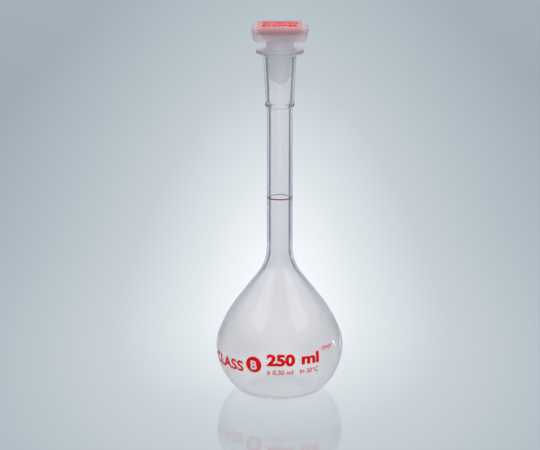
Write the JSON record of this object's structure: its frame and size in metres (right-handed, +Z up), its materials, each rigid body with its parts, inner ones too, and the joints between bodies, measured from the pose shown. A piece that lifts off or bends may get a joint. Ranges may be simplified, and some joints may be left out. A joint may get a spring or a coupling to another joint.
{
  "type": "volumetric flask",
  "caption": "Clear plastic measuring flask: pear-shaped bulb on a flat foot, long narrow neck with a ring mark, tapered socket and a square-headed push-in stopper with a red lid insert.",
  "frame": {"origin": "centre of the foot, on the surface that the flask stands on", "axes": "+Z up along the axis of the neck, +X to the right and -Y towards the side that carries the print"},
  "size_m": [0.0812, 0.0812, 0.2361],
  "materials": {
    "clear_plastic": "clear moulded plastic with a faint haze, glossy",
    "red_ink": "screen-printed enamel ink",
    "milky_plastic": "milky translucent moulded plastic, satin",
    "red_plastic": "red moulded plastic, satin"
  },
  "bodies": {
    "flask": {"flask_body": "clear_plastic", "graduation_line": "red_ink"},
    "stopper": {"stopper_body": "milky_plastic", "lid_insert": "red_plastic"}
  },
  "joints": [
    {"name": "stopper_lift", "type": "slide", "parent": "flask", "child": "stopper", "axis": [0, 0, 1], "range_m": [0, 0.05]}
  ]
}
